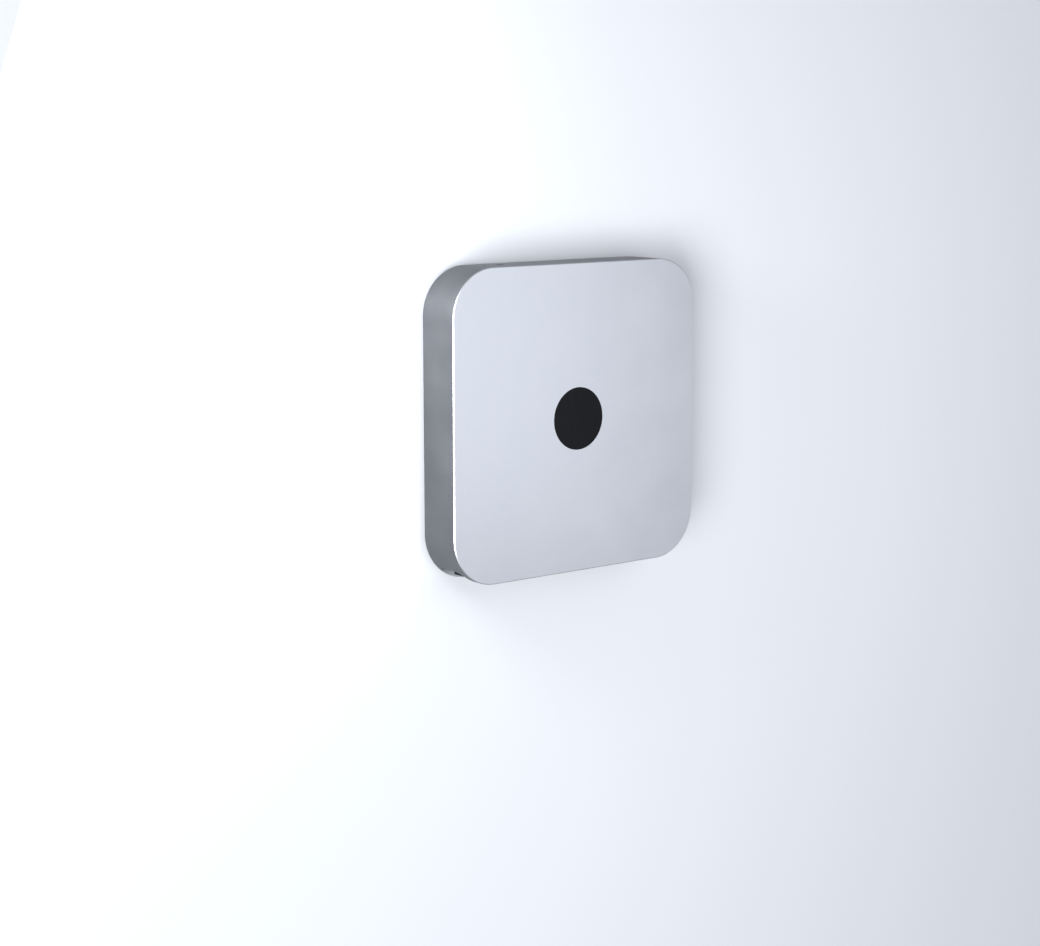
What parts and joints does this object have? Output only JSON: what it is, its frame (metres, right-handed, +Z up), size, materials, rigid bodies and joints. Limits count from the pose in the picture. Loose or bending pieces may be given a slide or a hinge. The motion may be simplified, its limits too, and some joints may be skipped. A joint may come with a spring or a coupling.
{
  "type": "mini pc",
  "caption": "Slim square metal desktop computer with round corners, a rear port panel and a twist-off round base cover on a rubber ring, with its working parts inside.",
  "frame": {"origin": "on the table, at the centre of the foot ring, under the middle of the square shell", "axes": "+Z up through the top face, -Y out of the front, +Y out of the ports, +X to the right seen from the front"},
  "size_m": [0.197, 0.197, 0.036],
  "materials": {
    "shell_aluminium": "fine bead-blasted, satin",
    "gloss_black": "polished",
    "cover_plastic": "fine texture",
    "foot_rubber": "matte",
    "panel_plastic": "satin",
    "port_metal": "satin",
    "port_plastic": "satin",
    "contact_gold": "plated",
    "clear_lens": "clear",
    "dark_lens": "clear dark",
    "circuit_board": "solder mask",
    "chip_plastic": "moulded",
    "can_metal": "drawn can",
    "copper": "plain copper",
    "fin_metal": "thin sheet",
    "fan_plastic": "moulded",
    "stamped_steel": "stamped",
    "cast_drive": "cast",
    "platter_mirror": "polished",
    "supply_plastic": "moulded",
    "lead_sleeve": "flexible sleeve",
    "screw_steel": "blackened",
    "cell_steel": "satin"
  },
  "bodies": {
    "root": {"enclosure": "shell_aluminium", "top_inlay": "gloss_black", "io_panel": "panel_plastic", "exhaust_grille": "panel_plastic", "power_switch": "port_plastic", "status_light_lens": "clear_lens", "remote_window": "dark_lens", "front_sensor_board": "circuit_board", "ac_inlet": "port_plastic", "ac_inlet_pins": "port_metal", "ethernet_jack": "port_plastic", "ethernet_contacts": "contact_gold", "hdmi_port": "port_metal", "port_tongues": "port_plastic", "card_slot": "port_metal", "audio_in_jack": "port_plastic", "audio_out_jack": "port_plastic", "logic_board": "circuit_board", "processor_package": "circuit_board", "board_chips": "chip_plastic", "board_capacitors": "can_metal", "board_connectors": "port_plastic", "coin_cell_holder": "port_plastic", "coin_cell": "cell_steel", "memory_socket": "port_plastic", "fan_housing": "fan_plastic", "fan_cover": "stamped_steel", "fan_duct": "fan_plastic", "heat_pipe": "copper", "heat_sink_fins": "fin_metal", "cold_plate": "copper", "drive_base": "cast_drive", "drive_lid": "stamped_steel", "drive_bracket": "stamped_steel", "power_supply_case": "supply_plastic", "power_supply_board": "circuit_board", "power_supply_parts": "chip_plastic", "power_leads": "lead_sleeve", "antenna_plate": "stamped_steel", "wireless_card": "circuit_board", "speaker_box": "supply_plastic", "screws": "screw_steel", "usb_ports": "port_metal", "audio_end_panel": "panel_plastic", "inlet_end_panel": "panel_plastic", "display_port_1": "port_metal", "display_port_2": "port_metal", "memory_module_1": "circuit_board", "memory_module_2": "circuit_board"},
    "cover": {"bottom_cover": "cover_plastic", "foot_ring": "foot_rubber"},
    "power_button": {"power_button": "gloss_black"},
    "fan_wheel": {"fan_impeller": "fan_plastic"},
    "drive_disc": {"drive_platter": "platter_mirror"},
    "head_arm": {"drive_head_arm": "fin_metal"},
    "latch_front_1": {"memory_latch_front_1": "stamped_steel"},
    "latch_rear_1": {"memory_latch_rear_1": "stamped_steel"},
    "latch_front_2": {"memory_latch_front_2": "stamped_steel"},
    "latch_rear_2": {"memory_latch_rear_2": "stamped_steel"}
  },
  "joints": [
    {"name": "cover_turn", "type": "hinge", "parent": "root", "child": "cover", "pos_m": [0, 0, 0], "axis": [0, 0, -1], "range_deg": [0, 20]},
    {"name": "power_button_press", "type": "slide", "parent": "root", "child": "power_button", "axis": [0.7314, -0.682, 0], "range_m": [0, 0.0005], "stiffness_N_per_m": 3000, "springref_m": -0.0003},
    {"name": "fan_spin", "type": "hinge", "parent": "root", "child": "fan_wheel", "pos_m": [-0.0508, 0.0253, 0.009], "axis": [0, 0, 1], "continuous": true},
    {"name": "disc_spin", "type": "hinge", "parent": "root", "child": "drive_disc", "pos_m": [-0.0045, -0.05305, 0.02725], "axis": [0, 0, 1], "continuous": true},
    {"name": "head_arm_swing", "type": "hinge", "parent": "root", "child": "head_arm", "pos_m": [-0.05, -0.03805, 0.02725], "axis": [0, 0, 1], "range_deg": [0, 26]},
    {"name": "latch_front_1_open", "type": "hinge", "parent": "root", "child": "latch_front_1", "pos_m": [0.0439, -0.009, 0.023], "axis": [0, 0, 1], "range_deg": [0, 10], "stiffness_Nm_per_rad": 0.02},
    {"name": "latch_front_2_open", "type": "hinge", "parent": "root", "child": "latch_front_2", "pos_m": [0.0439, -0.009, 0.0182], "axis": [0, 0, 1], "range_deg": [0, 10], "stiffness_Nm_per_rad": 0.02},
    {"name": "latch_rear_1_open", "type": "hinge", "parent": "root", "child": "latch_rear_1", "pos_m": [0.0439, 0.0614, 0.023], "axis": [0, 0, -1], "range_deg": [0, 10], "stiffness_Nm_per_rad": 0.02},
    {"name": "latch_rear_2_open", "type": "hinge", "parent": "root", "child": "latch_rear_2", "pos_m": [0.0439, 0.0614, 0.0182], "axis": [0, 0, -1], "range_deg": [0, 10], "stiffness_Nm_per_rad": 0.02}
  ]
}
